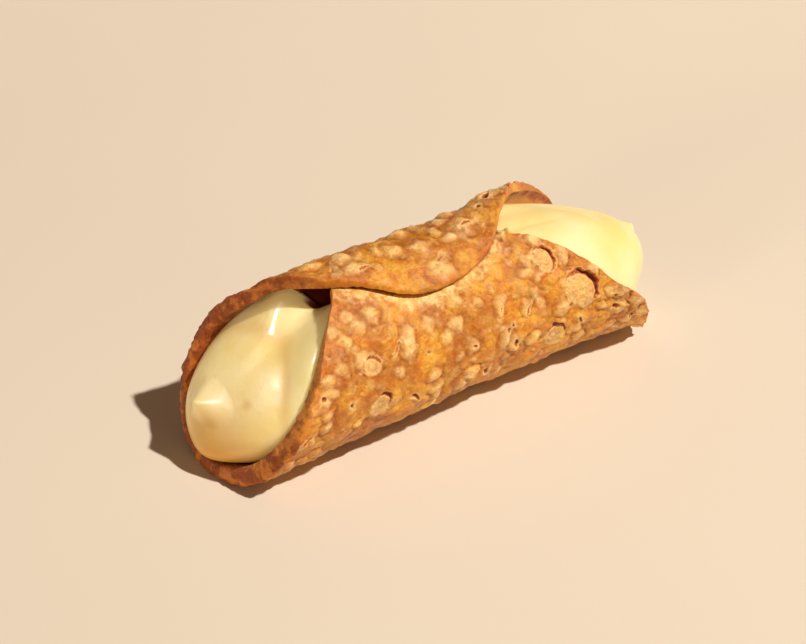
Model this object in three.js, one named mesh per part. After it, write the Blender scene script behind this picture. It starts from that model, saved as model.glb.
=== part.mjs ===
// A cannoli: a disc of dough rolled once round and lapped over itself on top, blistered in the
// fryer, and filled with thick cream that runs right through and swells out at both ends.
//
// Millimetres, +Z up. The roll lies along X with its longer, slanted front end towards -X, and the
// lap's edge looks towards -Y. A place on the dough is (s, x): s is the angle round the roll from
// the underside, positive the way that goes up the +Y side to the lap, and x is along the roll.
import * as THREE from 'three';

// ---- driving sizes
const OUTER_RADIUS = 19.5;   // of the roll, over one layer of dough
const WALL = 2.0;            // thickness of the dough
const WRAP_HALF = 205;       // degrees that the disc reaches round, each way from the underside
const LENGTH_HALF = 62;      // that the disc reaches along the roll, each way
const SEAM_TURN = 8;         // degrees that the rolled sheet is turned, so that the lap lies forward
const REST_DROP = 19.15;     // from the roll's axis down to the flat spot it lies on

// How far the disc's uneven edge reaches, as a share of the two halves, every 30 degrees round it:
// 0 is the lap's edge, 90 the back end, 180 the edge under the lap, 270 the front end.
const REACH = [0.97, 0.77, 0.8, 0.785, 0.735, 0.75, 0.895, 1.035, 1.045, 1.129, 1.06, 1.09];
const EDGE_WAVES = [[7, 0.006, 0], [12, 0.004, 1.3]];   // small waves of that edge: count, share, turn
const EDGE_BENDS = [     // dents and bulges of it: at what angle, half its width, share
  [-147, 3.5, 0.032], [-72, 10, 0.02], [-30, 7.5, -0.042], [-13.5, 10, 0.021], [10, 9, -0.035], [128, 9, 0.025],
];

const FLARE_FRONT = 1.0;     // that the front end opens out
const FLARE_BACK = 3.2;      // that the back end opens out
const LAP_GAP = 0.4;         // between the lap and the layer that it lies on
const LAP_FROM = 126;        // degrees where the sheet starts to climb onto itself
const LAP_TO = 165;          // degrees where it has climbed
const LAP_TUCK = 0.7;        // that the covered layer sinks under the lap
// extra thickness of the front rim, every 30 degrees round the roll from the underside
const FRONT_SWELL = [1.6, 0.8, 0.4, 0.6, 1, 1.9, 1.6, 0.6, 1.4, 2.3, 2.6, 2.2];
const BACK_SWELL = 0.2;      // extra thickness of the back rim
const EDGE_SHARE = 0.014;    // share of the disc that its rounded edge takes
const SWAY = 0.35;           // slow unevenness of the roll

// ---- blisters that stand out: [s, x, width, height], and burst ones with a hollow in them
const BLISTERS = [
  [-123, -37.7, 6.4, 1.0], [-143, -42.3, 5.0, 0.8], [-151, -37.9, 5.6, 0.8], [-128, -45.3, 4.6, 0.8],
  [-134, -21.4, 5.0, 0.7], [-121, -17.6, 4.6, 0.7], [-98, -22.4, 5.0, 0.9], [-103, -50.8, 4.6, 0.8],
  [-109, 14.4, 5.4, 0.8], [-107, -11, 4.6, 0.8], [-125, -2.6, 4.6, 0.7], [-107, 28.2, 4.4, 0.7],
  [175, -1.6, 7.0, 1.1], [198, -13.7, 7.2, 0.8], [178, -14.1, 5.4, 0.8], [174, -20.3, 5.4, 0.9],
  [178, -32.1, 7.0, 0.9], [156, -14.6, 5.6, 1.2], [153, -1, 5.2, 1.1], [144, 10.8, 5.4, 1.2],
  [165, -32.1, 5.4, 1.1], [160, -39.3, 6.0, 0.9], [147, 14, 7.5, 0.8],
];
const BURSTS = [     // burst blisters, in the same four numbers
  [-92, -36.1, 6.0, 1.0], [-145, 12.9, 6.6, 0.9], [-117, 20.4, 10.5, 1.3], [-89, 12.8, 6.6, 1.0],
];
const DOME_RISE = 1.2;       // that a whole blister stands over the height given for it
const BURST_HOLLOW = 2.2;    // depth of a burst blister's hollow, as a share of its height
const SMALL_COUNT = 170;     // lesser blisters, spread by a rule over the whole disc

// ---- cream
const FIT_GAP = 0.35;        // between the cream and the dough
// how far it meets the dough behind the front rim and the back rim, every 30 degrees round
const FRONT_INSET = [0.6, 0.5, 0.6, 2.2, 4, 4.4, 3.4, 1.6, 1, 1.2, 2.8, 4];
const BACK_INSET = [1, 1, 1, 1, 11, 8, 2, 1, 1, 1, 1, 1];
const CROSSING = 190;        // degrees round where the lap's rim crosses the rim of the layer under it
const FRONT_BULGE = 2.4;     // that the front surface stands out from its contact with the dough
const BULGE_TILT = 0.3;      // share of that bulge that is moved towards -Y
const FRONT_LIP = 1.8;       // that the front surface rounds back at the dough
const SWELL = { y: 2.2, z: -7, wide: 17.5, tall: 16.2, height: 4.6 };     // the squeeze that ends the front
const PEAK = { y: 6.6, z: -3.6, radius: 4.2, height: 2.8, tail: 0.55 };   // its small drawn-out point
const HOLLOW = { world: 179, wide: 9, depth: 3.4, long: 34 };   // left under the lap, at the front
const BACK_TIP = 50.1;       // x of the back dome on the axis
const BACK_DROP = 25.3;      // that the dome falls from the axis to the wall
const BACK_LEAN = [6.3, 3.9];  // that it leans towards -Y and down
const BACK_SINK = 2;         // that its surface may lie below the line of the rim
const BACK_GROOVE = { z: 11.7, slope: 0.18, wide: 1.6, depth: 1.1 };      // between two squeezes of it
const BACK_PEAK = { y: -2.9, z: 4.7, radius: 2.4, height: 1.5 };          // its tiny point

// ---- grids
const WRAP_CELLS = 66;       // cells across the disc round the roll, and along it; both even
const LONG_CELLS = 56;
const CREAM_ROUND = 48;      // cells round the cream
const CREAM_CAP = 9;         // rings on each of its ends
const CREAM_SIDE = 9;        // rings along its side

const smooth = (from, to, v) => {
  const t = Math.min(1, Math.max(0, (v - from) / (to - from)));
  return t * t * (3 - 2 * t);
};
const fract = (v) => v - Math.floor(v);
const lot = (i, k) => fract(Math.sin(i * 12.9898 + k * 78.233) * 43758.5453);
const radians = Math.PI / 180;
const mmPerDegree = OUTER_RADIUS * radians;

// A smooth closed curve through values that stand every 30 degrees.
function around(values, degrees) {
  const place = fract(degrees / 360) * 12;
  const i = Math.floor(place);
  const f = place - i;
  const [a, b, c, d] = [11, 0, 1, 2].map((k) => values[(i + k) % 12]);
  return 0.5 * (2 * b + (c - a) * f + (2 * a - 5 * b + 4 * c - d) * f * f + (3 * b - 3 * c + d - a) * f ** 3);
}

// How far the disc's edge reaches in direction `turn`.
function reach(turn) {
  const degrees = 360 * fract(turn / radians / 360 + 0.5) - 180;
  let share = around(REACH, degrees);
  for (const [count, size, phase] of EDGE_WAVES) share += size * Math.sin(count * turn + phase);
  for (const [at, wide, size] of EDGE_BENDS) share += size * Math.exp(-(((degrees - at) / wide) ** 2));
  return share;
}

// From a square grid, p and q in -1..1, to the disc, so that no cell is a sliver at its middle.
function onSheet(p, q) {
  const across = p * Math.sqrt(1 - (q * q) / 2);
  const along = q * Math.sqrt(1 - (p * p) / 2);
  const share = Math.hypot(across, along);
  const turn = Math.atan2(along, across);
  const stretch = 1 + (reach(turn) - 1) * share * share;
  return { s: WRAP_HALF * across * stretch, x: LENGTH_HALF * along * stretch, share, turn };
}

// The same place from s and x: its share of the way to the edge, held at 1, and `beyond`, which
// passes 1 outside the disc.
function placeOf(s, x) {
  const along = x / LENGTH_HALF;
  const across = s / WRAP_HALF;
  const turn = Math.atan2(along, across);
  const edge = reach(turn);
  const far = Math.hypot(across, along);
  const target = Math.min(far, edge);
  let share = target;
  for (let step = 0; step < 8; step++) {
    share -= (share + (edge - 1) * share ** 3 - target) / (1 + 3 * (edge - 1) * share * share);
  }
  return { s, x, share, turn, beyond: far / edge };
}

function smallBlisters() {
  const list = [];
  for (let i = 1; i <= SMALL_COUNT; i++) {
    const p = 1.9 * fract(i * 0.7548777 + 0.1 * lot(i, 1)) - 0.95;
    const q = 1.9 * fract(i * 0.5698403 + 0.1 * lot(i, 2)) - 0.95;
    const { s, x } = onSheet(p, q);
    const width = 3.6 + 3 * lot(i, 3) ** 2;
    list.push([s, x, width, 0.3 + 0.13 * width * lot(i, 4)]);
  }
  return list;
}
const DOMES = [...BLISTERS, ...BURSTS, ...smallBlisters()];

// Height of the blisters at a place: the highest dome there, less the hollow of a burst one. None
// stand on the layer that the lap covers.
function relief({ s, x }) {
  const away = ([s0, x0, width]) => Math.hypot((s - s0) * mmPerDegree, x - x0) / (width / 2);
  let height = 0;
  for (const dome of DOMES) {
    const d = away(dome);
    if (d < 1) height = Math.max(height, DOME_RISE * dome[3] * (1 - d * d) ** 0.8);
  }
  for (const burst of BURSTS) {
    const d = away(burst) / 0.62;
    if (d < 1) height -= burst[3] * BURST_HOLLOW * (1 - d * d);
  }
  return height * smooth(1.0, 1.05, placeOf(s + 360, x).beyond);
}

// Radius of the outer face, before blisters.
function outerRadius({ s, x, share, turn }) {
  const world = (s + SEAM_TURN) * radians;
  const lying = Math.exp(-(((s + SEAM_TURN) / 40) ** 2));
  const up = Math.sin(turn);
  const flare = share ** 3 * (up > 0 ? FLARE_BACK * up : -FLARE_FRONT * up) * (1 - 0.7 * lying);
  const lift = (WALL + LAP_GAP) * smooth(LAP_FROM, LAP_TO, s);
  const tuck = LAP_TUCK * smooth(1.02, 0.94, placeOf(s + 360, x).beyond);
  const sway = SWAY * (1 - lying) * Math.sin(2 * world + x / 17) * Math.cos(x / 11 + 0.6);
  return OUTER_RADIUS + flare + lift - tuck + sway;
}

function wall({ s, share, turn }) {
  const swell = turn < 0 ? around(FRONT_SWELL, s + SEAM_TURN) : BACK_SWELL;
  return WALL + swell * Math.sin(turn) ** 2 * smooth(0.86, 1, share);
}

function point(s, x, radius) {
  const world = (s + SEAM_TURN) * radians;
  return [x, radius * Math.sin(world), Math.max(-REST_DROP, -radius * Math.cos(world))];
}

function solid(name, positions, triangles, colour, roughness) {
  const geometry = new THREE.BufferGeometry();
  geometry.setAttribute('position', new THREE.Float32BufferAttribute(positions.flat(), 3));
  geometry.setIndex(triangles.flat());
  geometry.computeVertexNormals();
  const finish = new THREE.MeshStandardMaterial({ color: colour, roughness, metalness: 0 });
  const mesh = new THREE.Mesh(geometry, finish);
  mesh.name = name;
  return mesh;
}

// The rolled dough: an outer face, an inner face of half as many cells, and between them a rounded
// edge that goes all the way round the disc.
function makeShell() {
  const positions = [];
  const triangles = [];
  const grid = (step, inset, radiusOf) => {
    const rows = [];
    for (let i = 0; i <= WRAP_CELLS; i += step) {
      const row = [];
      for (let j = 0; j <= LONG_CELLS; j += step) {
        const p = (1 - inset) * ((2 * i) / WRAP_CELLS - 1);
        const q = (1 - inset) * ((2 * j) / LONG_CELLS - 1);
        const place = onSheet(p, q);
        row.push(positions.push(point(place.s, place.x, radiusOf(place))) - 1);
      }
      rows.push(row);
    }
    return rows;
  };
  const face = (rows, outward) => {
    const tall = rows.length - 1;
    const wide = rows[0].length - 1;
    for (let i = 0; i < tall; i++) {
      for (let j = 0; j < wide; j++) {
        const [a, b, c, d] = [rows[i][j], rows[i + 1][j], rows[i + 1][j + 1], rows[i][j + 1]];
        const straight = i < tall / 2 === j < wide / 2;   // the cut that runs towards the disc's middle
        const pair = straight ? [[a, b, c], [a, c, d]] : [[a, b, d], [b, c, d]];
        for (const t of pair) triangles.push(outward ? t : [t[0], t[2], t[1]]);
      }
    }
  };
  const outside = grid(1, EDGE_SHARE, (place) => outerRadius(place) + relief(place));
  const inside = grid(2, EDGE_SHARE, (place) => outerRadius(place) - wall(place));
  face(outside, true);
  face(inside, false);

  const loop = [];
  for (let i = 0; i < WRAP_CELLS; i++) loop.push([i, 0]);
  for (let j = 0; j < LONG_CELLS; j++) loop.push([WRAP_CELLS, j]);
  for (let i = WRAP_CELLS; i > 0; i--) loop.push([i, LONG_CELLS]);
  for (let j = LONG_CELLS; j > 0; j--) loop.push([0, j]);
  const middle = loop.map(([i, j]) => {
    const place = onSheet((2 * i) / WRAP_CELLS - 1, (2 * j) / LONG_CELLS - 1);
    return positions.push(point(place.s, place.x, outerRadius(place) - wall(place) / 2)) - 1;
  });
  const outer = loop.map(([i, j]) => outside[i][j]);
  const inner = loop.map(([i, j]) => inside[Math.floor(i / 2)][Math.floor(j / 2)]);
  for (let k = 0; k < loop.length; k++) {
    const n = (k + 1) % loop.length;
    triangles.push([outer[n], outer[k], middle[k]], [outer[n], middle[k], middle[n]]);
  }
  for (let k = 0; k < loop.length; k += 2) {
    const m = k + 1;
    const n = (k + 2) % loop.length;
    triangles.push([middle[m], middle[k], inner[k]], [middle[m], inner[k], inner[n]]);
    triangles.push([middle[n], middle[m], inner[n]]);
  }
  return solid('shell', positions, triangles, 0xd08a45, 0.55);
}

// Where the disc's edge stands at angle `world` round the roll, on the front (-1) or back (+1) end.
function rimAt(world, end) {
  const turned = world < CROSSING ? world : world - 360;
  const s = turned - SEAM_TURN;
  let near = 0;
  let far = 1.3 * LENGTH_HALF;
  for (let step = 0; step < 30; step++) {
    const middle = (near + far) / 2;
    if (placeOf(s, end * middle).beyond < 1) near = middle;
    else far = middle;
  }
  return end * near;
}

// The cream's radius: close inside whichever layer of dough is next to it, easing down before the
// covered layer's edge, which leaves the small hollow that shows at the front.
function creamRadius(world, x) {
  const within = (s) => {
    const place = placeOf(s, x);
    return outerRadius(place) - wall(place) - FIT_GAP;
  };
  const outerLayer = within(world - SEAM_TURN);
  const nextLayer = Math.min(outerLayer, within(world - 360 - SEAM_TURN));
  const radius = outerLayer + (nextLayer - outerLayer) * smooth(148, 171, world);
  const down = Math.max(0, Math.cos(world * radians));
  return Math.min(radius, down > 0 ? (REST_DROP - WALL - FIT_GAP + 0.35) / down : radius);
}

function makeCream() {
  const positions = [];
  const triangles = [];
  const step = 360 / CREAM_ROUND;
  const worlds = Array.from({ length: CREAM_ROUND }, (_, k) => k * step);
  const front = worlds.map((w) => rimAt(w, -1) + around(FRONT_INSET, w));
  const back = worlds.map((w) => rimAt(w, 1) - around(BACK_INSET, w));
  const widest = OUTER_RADIUS - WALL;
  const cone = (y, z, { radius, height }) => height * Math.max(0, 1 - Math.hypot(y, z) / radius) ** 1.3;

  // A smooth skin over a disc from the values at its edge: of the waves that make them up, the
  // k-th fades inwards as out^k up to the third, then no faster than out^3 or out^(k/2).
  const skin = (edge, out) => {
    const level = new Array(CREAM_ROUND).fill(0);
    for (let k = 0; k <= CREAM_ROUND / 2; k++) {
      const share = (k === 0 || k === CREAM_ROUND / 2 ? 1 : 2) / CREAM_ROUND;
      const fade = share * out ** Math.max(Math.min(k, 3), k / 2);
      const angle = (i) => k * worlds[i] * radians;
      const even = edge.reduce((sum, v, i) => sum + v * Math.cos(angle(i)), 0);
      const odd = edge.reduce((sum, v, i) => sum + v * Math.sin(angle(i)), 0);
      level.forEach((_, i) => { level[i] += fade * (even * Math.cos(angle(i)) + odd * Math.sin(angle(i))); });
    }
    return level;
  };

  // The front is such a skin, bulged, with the squeeze, an oval mound with a steep edge, and its
  // point raised on it. The back is a dome with a groove and a tiny point.
  const frontX = (level, out, y, z) => {
    const bulge = FRONT_BULGE * Math.sqrt(1 - out ** 4) * (1 - (BULGE_TILT * y) / widest);
    const inward = 1 - Math.hypot((y - SWELL.y) / SWELL.wide, (z - SWELL.z) / SWELL.tall) ** 2;
    const swell = ((inward + Math.hypot(inward, 0.04)) / 2) ** 0.4;
    const aside = (y - PEAK.y) * (y < PEAK.y ? PEAK.tail : 1);
    const raised = SWELL.height * swell + cone(aside, z - PEAK.z, PEAK);
    return level - bulge - raised * (1 - out ** 4) + FRONT_LIP * out ** 10;
  };
  const backX = (rim, out, y, z) => {
    const dome = BACK_TIP - BACK_DROP * out * out - (BACK_LEAN[0] * y + BACK_LEAN[1] * z) / widest;
    const rise = dome - rim;
    const held = (rise - BACK_SINK + Math.hypot(rise + BACK_SINK, BACK_SINK)) / 2;
    const aside = (z - BACK_GROOVE.z - BACK_GROOVE.slope * y) / BACK_GROOVE.wide;
    const groove = BACK_GROOVE.depth * Math.exp(-(aside ** 2)) * smooth(6, 0, y);
    const raised = held - groove + cone(y - BACK_PEAK.y, z - BACK_PEAK.z, BACK_PEAK);
    return rim + raised * Math.sqrt(1 - out ** 10);
  };

  // How deep the hollow under the lap is at an angle and a distance behind the front's edge.
  const hollow = (w, behind) => {
    const across = Math.exp(-(((w - HOLLOW.world) / HOLLOW.wide) ** 2));
    return HOLLOW.depth * across * smooth(HOLLOW.long, 0.4 * HOLLOW.long, behind);
  };
  const cap = (edge, levels, xOf, out) => {
    const radii = skin(worlds.map((w, k) => creamRadius(w, edge[k]) - hollow(w, edge[k] - front[k])), out);
    return worlds.map((w, k) => {
      const [, y, z] = point(w - SEAM_TURN, 0, out * radii[k]);
      return positions.push([xOf(levels[k], out, y, z), y, z]) - 1;
    });
  };
  const frontCap = (out) => cap(front, skin(front, out), frontX, out);
  const backCap = (out) => cap(back, back, backX, out);

  const rings = [];
  for (let r = 1; r <= CREAM_CAP; r++) rings.push(frontCap(Math.sin((r / CREAM_CAP) * (Math.PI / 2))));
  for (let r = 1; r < CREAM_SIDE; r++) {
    const share = r / CREAM_SIDE;
    rings.push(worlds.map((w, k) => {
      const x = front[k] + (back[k] - front[k]) * share;
      return positions.push(point(w - SEAM_TURN, x, creamRadius(w, x) - hollow(w, x - front[k]))) - 1;
    }));
  }
  for (let r = CREAM_CAP; r >= 1; r--) rings.push(backCap(Math.sin((r / CREAM_CAP) * (Math.PI / 2))));

  const frontPole = positions.push([frontX(skin(front, 0)[0], 0, 0, 0), 0, 0]) - 1;
  const backPole = positions.push([backX(back[0], 0, 0, 0), 0, 0]) - 1;
  for (let k = 0; k < CREAM_ROUND; k++) {
    const n = (k + 1) % CREAM_ROUND;
    triangles.push([frontPole, rings[0][n], rings[0][k]]);
    for (let r = 0; r + 1 < rings.length; r++) {
      const [a, b, c, d] = [rings[r][k], rings[r][n], rings[r + 1][n], rings[r + 1][k]];
      triangles.push([a, b, c], [a, c, d]);
    }
    triangles.push([backPole, rings.at(-1)[k], rings.at(-1)[n]]);
  }
  return solid('cream', positions, triangles, 0xf6e3a0, 0.4);
}

// The roll stands with the middle of its base at the origin.
const cannoli = new THREE.Group();
cannoli.add(makeShell(), makeCream());
const extent = new THREE.Box3().setFromObject(cannoli);
const middle = extent.getCenter(new THREE.Vector3());
cannoli.position.set(-middle.x, -middle.y, -extent.min.z);

export default cannoli;
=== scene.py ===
# %% [markdown]
# # Dressing a cannoli
# A cannoli is a disc of dough, rolled once round a tube, sealed where it laps over itself, fried
# until it blisters, and filled with cream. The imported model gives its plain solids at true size.
# This lesson gives them a surface worth looking at: blisters that have puffed and burst, a rough
# browned rim, and cream with a fold and a soft gloss. Everything is computed with numpy as whole
# arrays, in millimetres, and becomes metres only when the mesh is made.

import math

import bpy
import mathutils
import numpy as np
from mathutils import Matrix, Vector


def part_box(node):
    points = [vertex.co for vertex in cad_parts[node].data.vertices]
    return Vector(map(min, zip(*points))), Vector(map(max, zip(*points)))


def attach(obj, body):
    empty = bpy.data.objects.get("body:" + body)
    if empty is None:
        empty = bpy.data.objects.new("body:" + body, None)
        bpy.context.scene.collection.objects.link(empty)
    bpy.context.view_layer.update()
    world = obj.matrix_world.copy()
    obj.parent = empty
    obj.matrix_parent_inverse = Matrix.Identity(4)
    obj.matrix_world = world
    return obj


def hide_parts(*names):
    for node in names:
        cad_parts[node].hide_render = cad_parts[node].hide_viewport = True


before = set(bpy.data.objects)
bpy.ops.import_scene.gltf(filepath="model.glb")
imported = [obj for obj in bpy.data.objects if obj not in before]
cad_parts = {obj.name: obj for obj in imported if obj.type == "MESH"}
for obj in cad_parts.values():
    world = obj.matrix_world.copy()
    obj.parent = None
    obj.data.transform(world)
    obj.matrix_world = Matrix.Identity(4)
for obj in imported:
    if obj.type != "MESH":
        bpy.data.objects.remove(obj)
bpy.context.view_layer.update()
print("nodes to dress:", sorted(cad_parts))

# %% [markdown]
# ## The sheet of dough
# A rolled disc is easiest to think of flat. A place on it is (s, x): s is the angle round the roll
# from the underside, in degrees, positive the way that climbs the far side to the lap, and x is
# along the roll. The disc reaches further round than one turn, which is what makes the lap. Its
# edge is uneven, so its reach is given every 30 degrees and joined by a smooth closed curve.

# %% Sizes of the rolled sheet
OUTER_RADIUS = 19.5      # of the roll, over one layer of dough
WALL = 2.0               # thickness of the dough
WRAP_HALF = 205          # degrees that the disc reaches round, each way from the underside
LENGTH_HALF = 62         # that the disc reaches along the roll, each way
SEAM_TURN = 8            # degrees that the rolled sheet is turned, so that the lap lies forward
REST_DROP = 19.15        # from the roll's axis down to the flat spot it lies on
MM_PER_DEGREE = OUTER_RADIUS * math.pi / 180
# How far the edge reaches, as a share of the two halves above, every 30 degrees of direction on
# the flat sheet: the lap's edge comes first, then the back end, the covered edge, the front end.
REACH = np.array([0.97, 0.77, 0.8, 0.785, 0.735, 0.75, 0.895, 1.035, 1.045, 1.129, 1.06, 1.09])
EDGE_WAVES = ((7, 0.006, 0), (12, 0.004, 1.3))   # small waves of the edge: count, share, phase
# and its bends: direction and half width in degrees, and share
EDGE_BENDS = ((-147, 3.5, 0.032), (-72, 10, 0.02), (-30, 7.5, -0.042), (-13.5, 10, 0.021),
              (10, 9, -0.035), (128, 9, 0.025))


def smooth(start, end, v):
    """0 before start, 1 after end, and an S-shaped step between them: 3t^2 - 2t^3."""
    t = np.clip((v - start) / (end - start), 0, 1)
    return t * t * (3 - 2 * t)


def bell(v, middle, wide):
    """A bell: 1 at the middle, and falling off as exp(-t^2), with t the distance over wide."""
    return np.exp(-(((v - middle) / wide) ** 2))


def around(values, degrees):
    """A smooth closed curve (Catmull-Rom) through twelve values that stand every 30 degrees."""
    place = np.mod(degrees, 360) / 30
    i = np.floor(place).astype(int) % 12
    f = place - np.floor(place)
    a, b, c, d = (values[(i + k) % 12] for k in (-1, 0, 1, 2))
    square, cube = 2 * a - 5 * b + 4 * c - d, 3 * b - 3 * c + d - a
    return 0.5 * (2 * b + (c - a) * f + square * f**2 + cube * f**3)


def reach(turn):
    """How far the disc's edge reaches in direction turn: the curve, its small waves and bends."""
    degrees = np.mod(np.degrees(turn) + 180, 360) - 180
    waves = sum(size * np.sin(count * turn + phase) for count, size, phase in EDGE_WAVES)
    bends = sum(size * bell(degrees, at, wide) for at, wide, size in EDGE_BENDS)
    return around(REACH, degrees) + waves + bends


lap_reach, front_reach = WRAP_HALF * reach(0.0), LENGTH_HALF * reach(-math.pi / 2)
print(f"reach of the lap {lap_reach:.0f} degrees, of the front {front_reach:.0f} mm")

# %% [markdown]
# A mesh of a disc could be rings round a centre, but those crowd together in the middle. A square
# grid bent to the disc keeps its cells alike all over, so the blisters are equally sharp
# everywhere. The second function goes back, from (s, x) to the disc, by a few Newton steps.

# %% From a square grid to the disc, and back
NEWTON_STEPS = 8


def on_sheet(p, q):
    """(s, x, share of the way to the edge, direction) for p and q in -1..1: the square is pressed
    to a disc by p*sqrt(1 - q^2/2) and q*sqrt(1 - p^2/2), then stretched to the edge's reach."""
    across = p * np.sqrt(1 - q**2 / 2)
    along = q * np.sqrt(1 - p**2 / 2)
    share = np.hypot(across, along)
    turn = np.arctan2(along, across)
    stretch = 1 + (reach(turn) - 1) * share**2
    return WRAP_HALF * across * stretch, LENGTH_HALF * along * stretch, share, turn


def place_of(s, x):
    """(share, direction, beyond) for a place: share solves share + (reach - 1) share^3 = distance,
    held at 1, and beyond is the distance over the reach, which passes 1 outside the disc."""
    along, across = x / LENGTH_HALF, s / WRAP_HALF
    turn = np.arctan2(along, across)
    edge = reach(turn)
    far = np.hypot(across, along)
    target = np.minimum(far, edge)
    share = target.copy()
    for _ in range(NEWTON_STEPS):
        share -= (share + (edge - 1) * share**3 - target) / (1 + 3 * (edge - 1) * share**2)
    return share, turn, far / edge


# %% [markdown]
# ## The roll
# Rolling the sheet up is one more function: radius from the place, then a turn about the axis. The
# radius opens towards both ends, climbs by one thickness where the sheet comes onto itself, and
# dips under the lap, so that the two layers stay clear of each other. The underside is pressed flat
# where the roll lies.

# %% Rolling up
FLARE_FRONT = 1.0        # that the front end opens out
FLARE_BACK = 3.2         # that the back end opens out
LAP_GAP = 0.4            # between the lap and the layer that it lies on
LAP_FROM, LAP_TO = 126, 165   # degrees where the sheet climbs onto itself
LAP_TUCK = 0.7           # that the covered layer sinks under the lap
TUCK_FROM, TUCK_TO = 1.02, 0.94    # shares of the lap's reach between which it sinks
# Extra thickness of the front rim, every 30 degrees round the roll from the underside
FRONT_SWELL = np.array([1.6, 0.8, 0.4, 0.6, 1.0, 1.9, 1.6, 0.6, 1.4, 2.3, 2.6, 2.2])
BACK_SWELL = 0.2         # extra thickness of the back rim
RIM_FROM = 0.86          # share of the way to the edge where a rim starts to thicken
SWAY = 0.35              # slow unevenness of the roll
SWAY_ROUND, SWAY_ALONG = 17, 11    # mm along the roll for one radian of its two waves
SWAY_PHASE = 0.6
LYING_WIDE = 40          # degrees each way where the roll's weight evens out flare and sway
LYING_FLARE = 0.7        # share of the flare that is lost there


def covered(s, x):
    """How far a place is beyond the edge of the lap over it: under 1 where the lap covers it."""
    return place_of(s + 360, x)[2]


def outer_radius(s, x, share, turn):
    """Radius of the outer face before blisters: roll + flare (share^3) + climb - tuck + sway."""
    world = np.radians(s + SEAM_TURN)
    lying = bell(s + SEAM_TURN, 0, LYING_WIDE)
    up = np.sin(turn)
    opening = np.where(up > 0, FLARE_BACK * up, -FLARE_FRONT * up)
    flare = share**3 * opening * (1 - LYING_FLARE * lying)
    climb = (WALL + LAP_GAP) * smooth(LAP_FROM, LAP_TO, s)
    tuck = LAP_TUCK * smooth(TUCK_FROM, TUCK_TO, covered(s, x))
    waves = np.sin(2 * world + x / SWAY_ROUND), np.cos(x / SWAY_ALONG + SWAY_PHASE)
    sway = SWAY * (1 - lying) * waves[0] * waves[1]
    return OUTER_RADIUS + flare + climb - tuck + sway


def wall_at(s, share, turn):
    """Thickness of the dough: WALL, and its swell more towards the rims of the open ends."""
    swell = np.where(turn < 0, around(FRONT_SWELL, s + SEAM_TURN), BACK_SWELL)
    return WALL + swell * np.sin(turn) ** 2 * smooth(RIM_FROM, 1, share)


def rolled(s, x, radius):
    """Points in millimetres about the roll's axis, the underside pressed flat."""
    world = np.radians(s + SEAM_TURN)
    height = np.maximum(-REST_DROP, -radius * np.cos(world))
    return np.stack([x, radius * np.sin(world), height], -1)


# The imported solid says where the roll's axis runs: its lowest point is REST_DROP under the axis,
# its foremost point is the front rim's, and it reaches a little further to -Y than to +Y.
AXIS_ASIDE = 0.1         # from the middle of its width to the axis, towards +Y
turns = np.linspace(0, 2 * math.pi, 3601)
front_tip = (LENGTH_HALF * np.sin(turns) * reach(turns)).min()
low, high = (np.array(corner) * 1000 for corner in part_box("shell"))
middle_y = (low[1] + high[1]) / 2
AXIS = np.array([low[0] - front_tip, middle_y + AXIS_ASIDE, low[2] + REST_DROP])
print("the roll's axis passes through", AXIS.round(2), "mm")

# %% [markdown]
# ## Blisters
# Water in the dough boils in the hot oil and lifts its skin. Whole blisters are thin and stay
# pale, the dough between them browns, and the ones that burst leave a frothy floor with a dark
# crescent beside it, under a thin torn edge. A displacement texture could roughen a plain tube,
# but these are shapes that one can point at, so each is placed on the sheet with its own outline.
#
# First a seeded bumpiness: many cosine waves of about one length in all directions add up to
# lumps, and their absolute value has round tops and creased valleys, as crowded bubbles have.

# %% Seeded lumps
def lumps(points, size, seed, count=40):
    """Soft lumps about size across, roughly -1..1: cosine waves in seeded directions, added up."""
    rng = np.random.default_rng(seed)
    waves = rng.normal(size=(count, 3))
    shares = rng.uniform(0.7, 1.3, (count, 1))     # the lengths vary, so that nothing repeats
    waves *= (2 * math.pi / size) * shares / np.linalg.norm(waves, axis=1, keepdims=True)
    phases = rng.uniform(0, 2 * math.pi, count)
    total = np.zeros(points.shape[:-1])
    for wave, phase in zip(waves, phases):
        total += np.cos(points @ wave + phase)
    return total / math.sqrt(count)
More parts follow.
